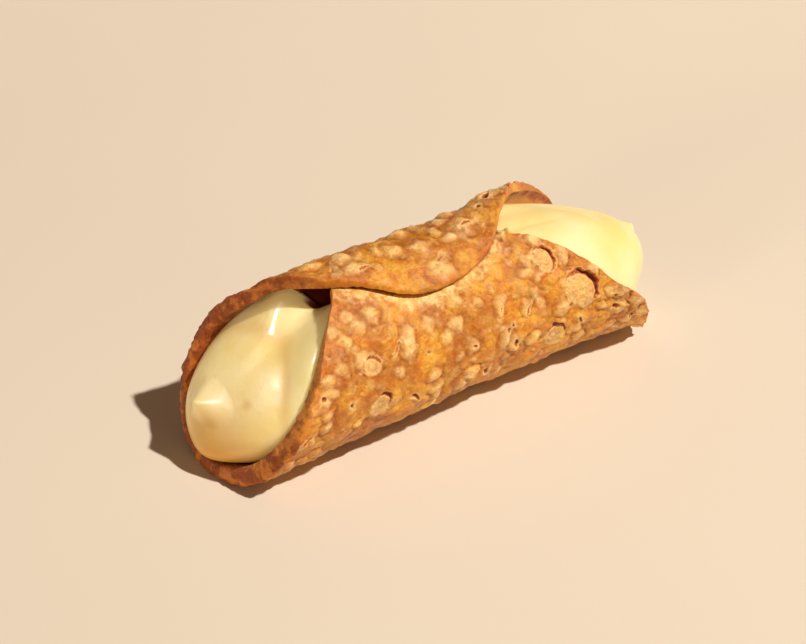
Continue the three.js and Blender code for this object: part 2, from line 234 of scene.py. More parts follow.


# %% [markdown]
# The blisters that anyone would notice are listed one by one, as place, size and height. A few
# hundred lesser ones follow a rule that spreads them evenly without a visible pattern.

# %% Where the blisters are
# Whole blisters: s, x, size round the roll, size along it, height
BLISTERS = [
    (-123, -37.7, 5.8, 4.6, 0.5), (-143, -42.3, 4.9, 3.6, 0.5), (-151, -37.9, 5.2, 4.0, 0.6),
    (-128, -45.3, 4.2, 3.4, 0.5), (-134, -21.4, 4.4, 3.4, 0.4), (-121, -17.6, 3.8, 4.2, 0.5),
    (-98, -22.4, 4.6, 4.4, 0.6), (-85, -21.2, 4.4, 4.0, 0.6), (-103, -50.8, 3.8, 4.0, 0.6),
    (-93, -50.9, 3.6, 3.2, 0.6), (-109, 14.4, 5.0, 4.4, 0.6), (-107, -11, 4.2, 3.8, 0.6),
    (-125, -2.6, 4.4, 3.4, 0.5), (-107, 28.2, 3.4, 3.0, 0.5), (-111, -31.3, 3.4, 3.4, 0.5),
    (-135, -26.7, 3.6, 3.4, 0.4), (-115, -48.2, 3.0, 2.8, 0.5), (-119, 4.7, 4.0, 3.4, 0.5),
    (175, -1.6, 6.0, 6.4, 0.7), (198, -13.7, 5.6, 7.0, 0.5), (178, -14.1, 4.4, 5.0, 0.6),
    (174, -20.3, 4.4, 5.2, 0.7), (178, -32.1, 3.6, 7.2, 0.7), (156, -14.6, 5.0, 5.4, 0.9),
    (153, -1, 5.0, 5.0, 0.9), (144, 10.8, 5.0, 5.6, 0.9), (165, -32.1, 4.4, 5.4, 0.8),
    (160, -39.3, 4.0, 6.6, 0.7), (171, -8.1, 4.2, 4.0, 0.6), (169, -23.7, 3.4, 3.0, 0.6),
    (147, 14, 8, 7, 0.9), (-75, 20.6, 4.4, 4.2, 0.5), (-76, 29.6, 3.8, 3.4, 0.5),
    (-78, 35, 4.6, 4.2, 0.6),
]
# Burst ones: s, x, size round, size along, height of the froth, degrees to the crescent's side
BURSTS = [
    (-117, 20.4, 9.8, 8.2, 0.8, 35), (-145, 12.9, 6.4, 5.4, 0.6, 25),
    (-89, 12.8, 6.0, 6.6, 0.5, 75), (-92, -36.1, 5.4, 6.4, 0.4, 60),
    (-123, -37.7, 4.6, 3.9, 0.35, 70),
]
# Small ones with a hole in them: s, x, size
CRATERS = [
    (-96, 1.1, 3.2), (-107, -11, 1.9), (-108, -0.8, 2.1), (-111, 0.6, 1.9), (-93, 19.8, 2.4),
    (-94, 29.8, 2.8), (-101, -44.2, 2.4), (-114, -51.9, 2.2), (-104, 29.6, 1.7), (-81, 36.5, 2.0),
    (152, 12, 4.0), (164, 6.3, 2.3), (-85, -27, 2.2), (-79, -6, 2.4), (-70, 12, 2.2),
    (-152, -14.3, 1.3), (-151, -12.9, 1.1), (-155, -9.2, 1.3), (-159, -3.8, 1.3), (-163, 2.2, 1.5),
]
# Slits: s, x, length, direction in degrees from the roll's axis
SLITS = [
    (-128, -30.4, 2.6, 50), (-125, -2.2, 2.4, 60), (-118, 5.6, 3.2, 50), (192, -12.0, 2.2, 35),
    (176, -0.6, 3.0, 10), (-90, -56.2, 3.4, 20), (-116, -22.8, 1.0, 0), (-83, 35.5, 2.6, 80),
    (180, -29.5, 2.4, 5), (-109, 16.5, 1.6, 30), (173, -35.5, 2.6, 70),
]
SMALL_COUNT = 520
SMALL_STEPS = (0.7548777, 0.5698403)     # 1/g and 1/g^2, where g^3 = g + 1
SMALL_PLAY = 0.1         # that chance may shift one, as a share of the square
SMALL_SPREAD = 0.97      # share of the square that they cover
SMALL_LEAST, SMALL_MORE = 1.4, 3.4       # the smallest size, and what the largest has over it


def small_blisters(count, seed):
    """Rows like BLISTERS. The i-th stands at the fractional parts of i times the two steps, which
    fills a square evenly, with a little seeded play. Sizes follow chance^2.4: mostly small."""
    rng = np.random.default_rng(seed)
    i = np.arange(1, count + 1)
    p, q = (2 * SMALL_SPREAD * np.mod(i * step + rng.uniform(0, SMALL_PLAY, count), 1)
            - SMALL_SPREAD for step in SMALL_STEPS)
    s, x, _, _ = on_sheet(p, q)
    size = SMALL_LEAST + SMALL_MORE * rng.uniform(0, 1, count) ** 2.4
    longer = rng.uniform(0.75, 1.3, count)
    height = size * rng.uniform(0.09, 0.2, count)
    return np.stack([s, x, size * longer, size / longer, height], -1)


small = small_blisters(SMALL_COUNT, seed=11)
print(f"{len(BLISTERS)} blisters by hand, {len(BURSTS)} burst, {len(small)} by the rule")

# %% [markdown]
# The relief is built up in layers: lumps first, then the highest dome at each place, then holes
# cut in. Along the way it keeps what the finish needs to know. Two of these masks, hole and
# froth, are distances in millimetres, positive inside: the finish can draw a sharp edge where a
# distance passes zero, finer than the mesh itself.

# %% Whole blisters
DOME_HEIGHT = 1.25       # of a dome, for each mm in the list
RING_AT, RING_WIDE = 1.12, 0.16    # the ring at a dome's foot, in half sizes
RING_DEPTH = 0.3         # of that ring, for each mm in the list
NEAR_SHARE, NEAR_MORE = 0.8, 1.5   # a blister is worked out this share of its size away, and more
FAINT = 0.35             # strength of the finish of a very low blister
SKIN_GROWTH, FOOT_SHADE_GROWTH = 0.8, 0.9      # and how it grows with the height: skin, and the painted shade at the foot


def oval(s, x, spot, lean=0.0):
    """(distance, u, v) from a spot's middle as shares of its half sizes, u along the lean."""
    round_way = (s - spot[0]) * MM_PER_DEGREE
    along = x - spot[1]
    c, d = math.cos(math.radians(lean)), math.sin(math.radians(lean))
    u = (along * c - round_way * d) / (spot[3] / 2)
    v = (along * d + round_way * c) / (spot[2] / 2)
    return np.hypot(u, v), u, v


def whole_blisters(s, x, wandered, pale):
    """Domes h (1 - d^2)^1.1, each in a shallow ring, exp(-((d - at) / wide)^2), round whose foot
    the finish paints a brown ring of shade. The skin on top stays pale. Where several meet, the
    strongest counts."""
    domes, rings, foot_shade = np.zeros_like(s), np.zeros_like(s), np.zeros_like(s)
    for spot in [*BLISTERS, *small]:
        s0, x0, size_round, size_along, high = spot
        near = np.abs(x - x0) < NEAR_SHARE * size_along + NEAR_MORE
        near &= np.abs(s - s0) * MM_PER_DEGREE < NEAR_SHARE * size_round + NEAR_MORE
        d = oval(wandered[0][near], wandered[1][near], spot)[0]
        dome = DOME_HEIGHT * high * np.clip(1 - d**2, 0, 1) ** 1.1
        ring = bell(d, RING_AT, RING_WIDE)
        skin = min(1, FAINT + SKIN_GROWTH * high) * smooth(1.1, 0.3, d)
        domes[near] = np.maximum(domes[near], dome)
        rings[near] = np.maximum(rings[near], RING_DEPTH * high * ring)
        foot_shade[near] = np.maximum(foot_shade[near], min(1, FAINT + FOOT_SHADE_GROWTH * high) * ring)
        pale[near] = np.maximum(pale[near], skin)
    return domes, rings, foot_shade, pale


# %% Burst blisters
FAR_OUT = -3.0           # what a mask of distances holds where nothing is near
RAGGED, RAGGED_SIZE = 0.07, 1.8    # how ragged outlines are, in half sizes, and mm of one rag
FROTH_ASIDE = 0.2        # half sizes that the froth lies away from the crescent
FROTH_REACH = 0.85       # half sizes from the froth's middle to the crescent
FROTH_SUNK = 0.25        # that the border of the froth lies under the skin
FROTH_ROUGH = 0.2        # of its fine bubbles
TORN_EDGE = 0.22         # that the torn skin stands up over the crescent
TORN_AT, TORN_WIDE = 1.08, 0.14    # where it does, in half sizes
PIT_DEPTH, PIT_MORE = 0.36, 0.03   # of a crescent, and what each mm of half size adds


def burst_blisters(s, x, points, fine, height, pale, foot_shade):
    """A floor of froth h (1 - f^2)^0.7 about a middle set aside, and between it and the outline a
    crescent hollow, the lesser of both distances, under the torn edge of the skin."""
    hole, froth = np.full_like(s, FAR_OUT), np.full_like(s, FAR_OUT)
    ragged = RAGGED * lumps(points, RAGGED_SIZE, seed=5)
    for spot in BURSTS:
        _, _, size_round, size_along, high, lean = spot
        d, u, v = oval(s, x, spot, lean)
        half = (size_round + size_along) / 4
        floor = np.hypot(u + FROTH_ASIDE, 0.94 * v) + 0.5 * ragged
        inside = smooth(1.03, 0.95, d + ragged)
        crescent = np.minimum(1 - d - ragged, floor - FROTH_REACH) * half
        pit = (PIT_DEPTH + PIT_MORE * half) * smooth(-0.15, 0.5, crescent)
        edge = TORN_EDGE * bell(d + ragged, TORN_AT, TORN_WIDE) * smooth(-0.6, 0.6, u)
        bed = -FROTH_SUNK + high * np.clip(1 - floor**2, 0, 1) ** 0.7 + FROTH_ROUGH * fine
        height = height * (1 - inside) + inside * bed - pit + edge
        hole = np.maximum(hole, crescent)
        froth = np.maximum(froth, (1 - d - ragged) * half)
        pale = pale * (1 - inside) + inside * (0.75 - 0.3 * smooth(-0.2, 0.8, u))
        foot_shade = foot_shade * (1 - inside)
    return height, pale, foot_shade, hole, froth


# %% Small holes and slits
CRATER_RIM = 0.16        # height of the rim round a small hole
CRATER_DEPTH, CRATER_MOST = 0.3, 0.7     # for each mm of its size, and at most
CRATER_HOLE = 0.6        # half sizes from its middle to the hole's edge
SLIT_WIDE, SLIT_DEPTH = 0.75, 0.3


def holes_and_slits(wandered, height, pale, hole):
    """Craters: a rim, a bell about 0.95 half sizes, round a stepped hole. Slits: long ovals cut
    in. Both change the arrays they are given."""
    for s0, x0, size in CRATERS:
        d = oval(*wandered, (s0, x0, size, size))[0]
        depth = min(CRATER_MOST, CRATER_DEPTH * size)
        height += CRATER_RIM * bell(d, 0.95, 0.3) - depth * smooth(0.7, 0.25, d)
        hole[:] = np.maximum(hole, (CRATER_HOLE - d) * size / 2)
        pale[:] = np.maximum(pale, 0.7 * smooth(1.7, 0.8, d))
    for s0, x0, length, lean in SLITS:
        d = oval(*wandered, (s0, x0, SLIT_WIDE, length), lean)[0]
        height -= SLIT_DEPTH * smooth(1.2, 0.4, d)
        hole[:] = np.maximum(hole, 0.3 * (1 - d))


# %% The relief, and what it tells the finish
WANDER, WANDER_SIZE = 0.45, 3.4    # how far outlines wander, and over what distance
SLOW, SLOW_SIZE = 0.3, 9           # height and size of slow lumps
BUBBLY, BUBBLY_SIZE = 0.3, 4.6     # of crowded bubbles
FINE, FINE_SIZE = 0.16, 2.0        # of the finest bubbles
CRUMBS, CRUMBS_PLAY = 1.3, 0.4     # height of the crumbs at the lap's edge, and its play
CRUMBS_FROM, CRUMBS_TO = -22, -8   # x between which they set in


def relief(s, x, points):
    """Height in mm over the plain roll, and the masks, in layers: lumps, whole blisters, burst
    ones, holes and slits. What the lap covers stays plain, and crumbs fill the step at its edge."""
    wandered = (s + WANDER * lumps(points, WANDER_SIZE, seed=1) / MM_PER_DEGREE,
                x + WANDER * lumps(points, WANDER_SIZE, seed=2))
    bubbly = np.abs(lumps(points, BUBBLY_SIZE, seed=3)) ** 0.8
    fine = np.abs(lumps(points, FINE_SIZE, seed=4)) ** 0.8
    height = SLOW * lumps(points, SLOW_SIZE, seed=8) + BUBBLY * bubbly + FINE * fine

    pale = 0.3 * smooth(0.5, 1.6, bubbly)
    domes, rings, foot_shade, pale = whole_blisters(s, x, wandered, pale)
    height = height * (1 - 0.5 * smooth(0, 0.4, domes)) + domes - rings
    height, pale, foot_shade, hole, froth = burst_blisters(s, x, points, fine, height, pale, foot_shade)
    holes_and_slits(wandered, height, pale, hole)

    beyond = covered(s, x)
    open_air = smooth(1.0, 1.05, beyond)
    uneven = beyond + 0.012 * lumps(points, 2.4, seed=9)
    seam = smooth(1.06, 1.02, uneven) * smooth(0.99, 1.005, beyond)
    crumb_height = CRUMBS + CRUMBS_PLAY * lumps(points, 1.6, seed=10)
    crumbs = seam * smooth(CRUMBS_FROM, CRUMBS_TO, x) * crumb_height
    hole = hole + FAR_OUT * (1 - open_air)
    masks = {"pale": pale, "foot_shade": foot_shade * open_air, "hole": hole, "froth": froth, "seam": seam}
    return height * open_air + crumbs, masks


# %% [markdown]
# ## The shell's mesh
# The outer face is a fine grid, the inner one is three times coarser because little of it shows,
# and between them a rounded edge runs all the way round the disc. That edge is a half circle
# carried along the grid's border, roughened by lumps: it is what one sees of the dough's thickness.

# %% Faces, borders and finished pieces
def grid_faces(rows, outward=True):
    """The four corners of every cell of a grid of vertex numbers, turned to face outwards."""
    corners = rows[:-1, :-1], rows[1:, :-1], rows[1:, 1:], rows[:-1, 1:]
    quads = np.stack(corners, -1).reshape(-1, 4)
    return quads if outward else quads[:, ::-1]


def border(rows):
    """The vertex numbers of a grid's border, once round."""
    return np.concatenate([rows[:-1, 0], rows[-1, :-1], rows[:0:-1, -1], rows[0, :0:-1]])


def make_piece(name, points, faces, masks, replaced):
    """A smooth-shaded mesh object from points in mm about the axis, riding in place of a node."""
    mesh = bpy.data.meshes.new(name)
    metres = (points + AXIS) / 1000
    mesh.from_pydata(metres.tolist(), [], [face for group in faces for face in group.tolist()])
    mesh.polygons.foreach_set("use_smooth", np.ones(len(mesh.polygons), bool))
    for mask, values in masks.items():
        layer = mesh.attributes.new(mask, "FLOAT", "POINT")
        layer.data.foreach_set("value", np.asarray(values, np.float32))
    mesh.update()
    piece = bpy.data.objects.new(name, mesh)
    bpy.context.scene.collection.objects.link(piece)
    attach(piece, "root")
    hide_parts(replaced)
    triangles = sum(len(polygon.vertices) - 2 for polygon in mesh.polygons)
    print(f"{name}: {len(points)} points, {triangles} triangles")
    return piece


# %% The rolled dough's sizes
WRAP_CELLS, LONG_CELLS = 288, 252      # both a multiple of COARSER
COARSER = 3                            # cells of the outer face to one of the inner face
EDGE_SHARE = 0.014                     # share of the disc that its rounded edge takes
EDGE_ROWS = 6                          # steps round the edge, from the outer face to the inner
EDGE_LUMPS = ((0.13, 1.5), (0.2, 2.8))      # its roughness: height and size of crumbs and knobs
EDGE_LEVEL = 0.1                       # that this roughness is set in, to keep the thickness
TOAST_FROM = 0.93                      # share of the way to the edge where browning starts
INSIDE_SHADE_FROM, INSIDE_SHADE_TO = 20, -20       # x between which painted shade darkens the inner face, towards the front


def sheet_grid(step, inset):
    """on_sheet over the whole square, every step cells, drawn in by inset."""
    p = (1 - inset) * np.linspace(-1, 1, WRAP_CELLS // step + 1)
    q = (1 - inset) * np.linspace(-1, 1, LONG_CELLS // step + 1)
    return on_sheet(*np.meshgrid(p, q, indexing="ij"))


def ends_share(turn):
    """How much the frying browns the sheet's edge: most at the front end, least along the lap."""
    paler = 0.4 * bell(np.degrees(turn), -128, 20)     # on the -Y side of the front rim
    at_ends = smooth(0.35, 0.9, np.abs(np.sin(turn)))
    return 0.1 + at_ends * np.where(turn < 0, 0.9 - paler, 0.5)


# %% The rolled dough's edge
def edge_row(angle, ring, height):
    """Points of one row of the rounded edge: middle + (half the wall + roughness) cos(angle),
    where angle is 0 at the outer face and half a turn at the inner one."""
    place = sheet_grid(1, EDGE_SHARE * (1 - math.sin(angle)))
    s, x, share, turn = (values.ravel()[ring] for values in place)
    thick = wall_at(s, share, turn)
    middle = outer_radius(s, x, share, turn) - thick / 2
    lift = height.ravel()[ring] * (1 + math.cos(angle)) / 2
    plain = rolled(s, x, middle + thick / 2 * math.cos(angle) + lift)
    (crumbs, crumb_size), (knobs, knob_size) = EDGE_LUMPS
    rough = crumbs * lumps(plain, crumb_size, seed=6)
    rough = rough + knobs * np.abs(lumps(plain, knob_size, seed=7)) - EDGE_LEVEL
    points = rolled(s, x, middle + (thick / 2 + rough) * math.cos(angle) + lift)
    points[:, 0] += np.sin(turn) * (rough * math.sin(angle))
    return points


def stitch(fine, coarse):
    """Faces from a closed ring to one with COARSER times fewer points: for each coarse cell a
    triangle, a quad and a triangle."""
    first, second, third = fine.reshape(-1, COARSER).T
    following, next_coarse = np.roll(first, -1), np.roll(coarse, -1)
    return [np.stack([second, first, coarse], -1),
            np.stack([third, second, coarse, next_coarse], -1),
            np.stack([following, third, next_coarse], -1)]


# %% The rolled dough
def make_shell():
    """Outer face, rounded edge and inner face of the dough as one closed mesh."""
    s, x, share, turn = sheet_grid(1, EDGE_SHARE)
    plain = outer_radius(s, x, share, turn)
    height, masks = relief(s, x, rolled(s, x, plain))
    outer = rolled(s, x, plain + height)

    outer_grid = np.arange(s.size).reshape(s.shape)
    ring = border(outer_grid)
    angles = math.pi * np.arange(1, EDGE_ROWS) / EDGE_ROWS
    edge_rows = [edge_row(float(angle), ring, height) for angle in angles]

    si, xi, share_i, turn_i = sheet_grid(COARSER, EDGE_SHARE)
    inner_radius = outer_radius(si, xi, share_i, turn_i) - wall_at(si, share_i, turn_i)
    inner = rolled(si, xi, inner_radius)
    points = np.concatenate([outer.reshape(-1, 3), *edge_rows, inner.reshape(-1, 3)])

    edge_count = len(edge_rows) * len(ring)
    edge_bands = outer_grid.size + np.arange(edge_count).reshape(-1, len(ring))
    inner_grid = outer_grid.size + edge_count + np.arange(si.size).reshape(si.shape)
    bands = [ring, *edge_bands]
    faces = [grid_faces(outer_grid), grid_faces(inner_grid, outward=False)]
    for upper, lower in zip(bands, bands[1:]):
        faces.append(np.stack([np.roll(upper, -1), upper, lower, np.roll(lower, -1)], -1))
    faces += stitch(bands[-1], border(inner_grid))

    def whole(on_outer, on_edge, on_inner):
        """One value for every point, from arrays or plain numbers for the three parts."""
        parts = (on_outer, outer_grid.size), (on_edge, edge_count), (on_inner, si.size)
        return np.concatenate([np.broadcast_to(np.ravel(v), count) for v, count in parts])

    plain_dough = {"pale": 0, "foot_shade": 0, "hole": FAR_OUT, "froth": FAR_OUT, "seam": 0}
    finish = {name: whole(masks[name], none, none) for name, none in plain_dough.items()}
    toast = smooth(TOAST_FROM, 1.0, share) * ends_share(turn)
    edge_toast = np.tile(0.15 + 0.85 * ends_share(turn.ravel()[ring]), len(edge_rows))
    finish["toast"] = whole(toast, edge_toast, smooth(0.8, 1.0, share_i))
    # painted shade: the inner face darkens towards the open front
    finish["inside"] = whole(0, 0, smooth(INSIDE_SHADE_FROM, INSIDE_SHADE_TO, xi))
    return make_piece("fried_shell", points, faces, finish, "shell")


shell = make_shell()

# %% [markdown]
# ## The cream
# The cream is one body from end to end. Its side follows the dough's inner wall. Its front was
# left by the piping bag: a slanted surface, with the last squeeze lying on it as a fold that ends
# in a small point. Its back stands out as a plump dome. Both ends are a height over a disc, so they
# are computed on rings round the axis.

# %% The cream's sizes
# How far its front and back stay behind the rims, every 30 degrees round from the underside
FRONT_INSET = np.array([0.6, 0.5, 0.6, 2.2, 4, 4.4, 2.8, 0.6, 0.3, 0.8, 2.8, 4])
BACK_INSET = np.array([1, 1, 1, 1, 11, 8, 2, 1, 1, 1, 1, 1])
CROSSING = 190.0         # degrees round where the lap's rim crosses the rim of the layer under it
STEP_FROM, STEP_TO = 148, 171      # degrees round where the cream steps from one layer to the next
FRONT_BULGE = 2.4        # that the front surface stands out from its contact with the dough
BULGE_TILT = 0.3         # share of that bulge that is moved towards the -Y side
FRONT_LIP = 1.8          # that the front surface rounds back at the dough
LIP_LESS = dict(world=228, wide=34, share=1.1)      # and where it doesn't, degrees round
SWELL = dict(y=2.2, z=-7, wide=17.5, tall=16.2, height=4.6)   # the squeeze that ends the front
SWELL_SOFT = 0.12        # how soft the foot of the swell is
PEAK = dict(y=6.6, z=-3.6, radius=4.2, height=2.8)  # its small drawn-out point
PEAK_TAIL = 0.4          # how much slower that point falls towards -Y
HOLLOW = dict(world=179, wide=9, depth=3.4, long=34)          # left under the lap, at the front
BACK_TIP = 50.1          # x of the back dome on the axis
BACK_DROP = 25.3         # that the dome falls from the axis to the wall
BACK_LEAN = (6.3, 3.9)   # that it leans towards -Y and down
BACK_SINK = 2            # that its surface may lie below the line of the rim
BACK_SOFT = 4.5          # over which it passes from the dome to that depth
BACK_GROOVE = dict(z=11.7, slope=0.18, wide=1.6, depth=1.1)   # between two squeezes of it
BACK_PEAK = dict(y=-2.9, z=4.7, radius=2.4, height=1.5)       # its tiny point
CREAM_ROUND = 192        # points in a ring
CREAM_CAP, CREAM_SIDE = 64, 40     # rings of each end, and of the side between them


# %% The cream against the dough
HALVINGS = 30            # of the stretch in which a rim is looked for
FURTHEST = 1.3           # share of LENGTH_HALF that no rim reaches


def rim_at(world, end):
    """x of the disc's edge at an angle round the roll, on the front (-1) or back (+1) end, found
    by halving the stretch that holds it."""
    s = np.where(world < CROSSING, world, world - 360.0) - SEAM_TURN
    near, far = np.zeros_like(s), np.full_like(s, FURTHEST * LENGTH_HALF)
    for _ in range(HALVINGS):
        middle = (near + far) / 2
        inside = place_of(s, end * middle)[2] < 1
        near, far = np.where(inside, middle, near), np.where(inside, far, middle)
    return end * near


def cream_radius(world, x):
    """The inner wall's radius: the outer layer's, passing to the covered layer's near its edge."""
    def within(s):
        share, turn, _ = place_of(s, x)
        return outer_radius(s, x, share, turn) - wall_at(s, share, turn)
    outer_layer = within(world - SEAM_TURN)
    next_layer = np.minimum(outer_layer, within(world - 360 - SEAM_TURN))
    return outer_layer + (next_layer - outer_layer) * smooth(STEP_FROM, STEP_TO, world)


def skin(edge, out):
    """A smooth skin over a disc from the values at its edge: the k-th wave round it fades
    inwards as out^k up to the third, then no faster than out^3 or out^(k/2)."""
    waves = np.fft.rfft(edge)
    k = np.arange(len(waves))
    return np.fft.irfft(waves * float(out) ** np.maximum(np.minimum(k, 3), k / 2), len(edge))


def drawn_out(aside, up, point):
    """What the bag leaves as it pulls away: a cone height (1 - distance over radius)^1.3."""
    return point["height"] * np.clip(1 - np.hypot(aside, up) / point["radius"], 0, 1) ** 1.3


# %% [markdown]
# The finish of the cream needs two masks, both of painted shade. One darkens it to amber in a few
# soft spots and round the foot of the swell, where shade falls. The other marks the hollow under
# the lap, where hardly any light gets in, and paints it dark.

# %% The cream's masks
# Where painted shade darkens the front: y, z, half sizes and strength
PAINTED_SHADE_SPOTS = ((0.6, -6.6, 5.0, 2.4, 0.7), (-5.3, -0.2, 1.7, 1.2, 0.45), (-3, -13, 14, 9, 0.9),
              (-8, -5, 6, 5, 0.2))
PAINTED_SHADE_RING = dict(at=1.06, wide=0.08, strength=0.3)  # painted shade round the foot of the swell, in its half sizes
SHADE_TURN = 3           # degrees that the shaded part lies beyond the hollow's middle
SHADE_WIDE = (1.6, 3.8)  # its width in those of the hollow, on the front face and on the side


def deep_shade_mask(x, y, z):
    """Painted shade: soft ovals exp(-a^2 - b^2) and a ring round the swell, at the front only."""
    deep_shade = np.zeros_like(x)
    for y0, z0, wide, tall, strength in PAINTED_SHADE_SPOTS:
        spot = strength * np.exp(-(((y - y0) / wide) ** 2) - ((z - z0) / tall) ** 2)
        deep_shade = np.maximum(deep_shade, spot)
    out = np.hypot((y - SWELL["y"]) / SWELL["wide"], (z - SWELL["z"]) / SWELL["tall"])
    ring = PAINTED_SHADE_RING["strength"] * bell(out, PAINTED_SHADE_RING["at"], PAINTED_SHADE_RING["wide"])
    return np.maximum(deep_shade, ring) * smooth(-20, -40, x)


def shade_mask(x, worlds, outs):
    """Painted shade: a bell across the hollow on every ring, from the rim of the front inwards."""
    rim = np.concatenate([smooth(0.94, 0.985, outs), np.ones(CREAM_SIDE), np.zeros(CREAM_CAP)])
    wide = HOLLOW["wide"] * np.repeat(SHADE_WIDE, [CREAM_CAP, CREAM_SIDE + CREAM_CAP])
    across = bell(worlds, HOLLOW["world"] + SHADE_TURN, wide[:, None])
    on_rings = smooth(0.35, 0.7, across * rim[:, None]).ravel()
    return np.concatenate([on_rings, [0, 0]]) * smooth(0, -20, x)


# %% The cream
def make_cream():
    """Front rings, side rings and back rings round the axis, closed by a point at each end."""
    worlds = np.arange(CREAM_ROUND) * 360 / CREAM_ROUND
    front = rim_at(worlds, -1) + around(FRONT_INSET, worlds)
    back = rim_at(worlds, 1) - around(BACK_INSET, worlds)
    widest = OUTER_RADIUS - WALL

    def front_x(out, y, z):
        """A skin over the contact's line, bulged as sqrt(1 - out^4), with the swell, an oval mound
        with a steep edge, and the peak, a cone with a tail towards -Y."""
        bulge = FRONT_BULGE * math.sqrt(1 - out**4) * (1 - BULGE_TILT * y / widest)
        level = skin(front, out) - bulge
        away = (y - SWELL["y"]) / SWELL["wide"], (z - SWELL["z"]) / SWELL["tall"]
        inward = 1 - np.hypot(*away) ** 2
        swell = ((inward + np.hypot(inward, SWELL_SOFT)) / 2) ** 0.5
        aside = (y - PEAK["y"]) * np.where(y < PEAK["y"], PEAK_TAIL, 1)
        raised = SWELL["height"] * swell + drawn_out(aside, z - PEAK["z"], PEAK)
        less = bell(worlds, LIP_LESS["world"], LIP_LESS["wide"]) if np.ndim(y) else 0
        lip = FRONT_LIP * (1 - LIP_LESS["share"] * less) * out**10
        return level - raised * (1 - out**4) + lip

    def back_x(out, y, z):
        """A dome tip - drop out^2 - lean, held above the rim's line, with rounded shoulders, a
        groove and a tiny point."""
        lean = (BACK_LEAN[0] * y + BACK_LEAN[1] * z) / widest
        rise = BACK_TIP - BACK_DROP * out**2 - lean - back
        held = (rise - BACK_SINK + np.hypot(rise + BACK_SINK, BACK_SOFT)) / 2
        over_groove = z - BACK_GROOVE["z"] - BACK_GROOVE["slope"] * y
        groove = BACK_GROOVE["depth"] * bell(over_groove, 0, BACK_GROOVE["wide"])
        groove = groove * smooth(6, 0, y)
        point = drawn_out(y - BACK_PEAK["y"], z - BACK_PEAK["z"], BACK_PEAK)
        return back + (held - groove + point) * np.sqrt(1 - out**10)

    def hollow(x):
        """Depth of the hollow under the lap, which fades inwards."""
        across = bell(worlds, HOLLOW["world"], HOLLOW["wide"])
        return HOLLOW["depth"] * across * smooth(HOLLOW["long"], 0.4 * HOLLOW["long"], x - front)

    def cap(edge, x_of, out):
        """One ring of an end: the share out of the way to the dough, at the height x_of."""
        radius = out * skin(cream_radius(worlds, edge) - hollow(edge), out)
        ring = rolled(worlds - SEAM_TURN, edge, radius)
        ring[:, 0] = x_of(out, ring[:, 1], ring[:, 2])
        return ring

    outs = np.sin(np.linspace(0, math.pi / 2, CREAM_CAP + 1)[1:])
    rings = [cap(front, front_x, out) for out in outs]
    for share in np.linspace(0, 1, CREAM_SIDE + 2)[1:-1]:
        x = front + (back - front) * share
        rings.append(rolled(worlds - SEAM_TURN, x, cream_radius(worlds, x) - hollow(x)))
    rings += [cap(back, back_x, out) for out in outs[::-1]]
    poles = [[[x_of(0.0, 0.0, 0.0)[0], 0, 0]] for x_of in (front_x, back_x)]
    points = np.concatenate([*rings, *poles])

    rows = np.arange(len(rings) * CREAM_ROUND).reshape(len(rings), CREAM_ROUND)
    rows = np.concatenate([rows, rows[:, :1]], axis=1)
    first, last = rows[0], rows[-1]
    front_pole, back_pole = (np.full(CREAM_ROUND, rows.max() + k) for k in (1, 2))
    faces = [grid_faces(rows, outward=False),
             np.stack([front_pole, first[1:], first[:-1]], -1),
             np.stack([back_pole, last[:-1], last[1:]], -1)]
    x, y, z = points.T
    # both masks are painted shade: amber spots and ring, and the dark hollow
    masks = {"deep_shade": deep_shade_mask(x, y, z), "shade": shade_mask(x, worlds, outs)}
    return make_piece("pastry_cream", points, faces, masks, "cream")


cream = make_cream()

# %% [markdown]
# ## Finishes
# Each material is a Principled shader fed by nodes. What more than one finish needs is a shader
# node group with its own inputs and outputs: here, uneven tone and a fine grain for bump.

# %% Node helpers
def node(tree, kind, inputs=None, **settings):
    """Adds a node, sets its properties and inputs, and links an input given as a socket."""
    made = tree.nodes.new(kind)
    for name, value in settings.items():
        setattr(made, name, value)
    for name, value in (inputs or {}).items():
        if isinstance(value, bpy.types.NodeSocket):
            tree.links.new(value, made.inputs[name])
        else:
            made.inputs[name].default_value = value
    return made


def math_node(tree, operation, *values):
    """The result of a Math node."""
    return node(tree, "ShaderNodeMath", dict(enumerate(values)), operation=operation).outputs[0]


def mix(tree, amount, low, high, blend="MIX"):
    """Two colours mixed by amount. A Mix node for colours takes them in sockets 6 and 7."""
    inputs = {0: amount, 6: low, 7: high}
    return node(tree, "ShaderNodeMix", inputs, data_type="RGBA", blend_type=blend).outputs[2]


def mapped(tree, value, start, end, low=0.0, high=1.0, kind="SMOOTHSTEP"):
    """value taken from start..end to low..high, in an S-shaped step or in a line (LINEAR)."""
    inputs = {"Value": value, "From Min": start, "From Max": end, "To Min": low, "To Max": high}
    return node(tree, "ShaderNodeMapRange", inputs, interpolation_type=kind).outputs[0]


def new_group(name, inputs, outputs):
    """An empty shader node group with the named sockets, and its two end nodes."""
    tree = bpy.data.node_groups.new(name, "ShaderNodeTree")
    for label, kind, value in inputs:
        socket = tree.interface.new_socket(name=label, in_out="INPUT", socket_type=kind)
        if value is not None:
            socket.default_value = value
    for label, kind in outputs:
        tree.interface.new_socket(name=label, in_out="OUTPUT", socket_type=kind)
    return tree, tree.nodes.new("NodeGroupInput"), tree.nodes.new("NodeGroupOutput")


def linear(red, green, blue):
    """A colour as seen on a screen, 0 to 255, in the linear light that shaders use."""
    seen = np.array([red, green, blue]) / 255
    return (*np.where(seen > 0.04045, ((seen + 0.055) / 1.055) ** 2.4, seen / 12.92), 1.0)


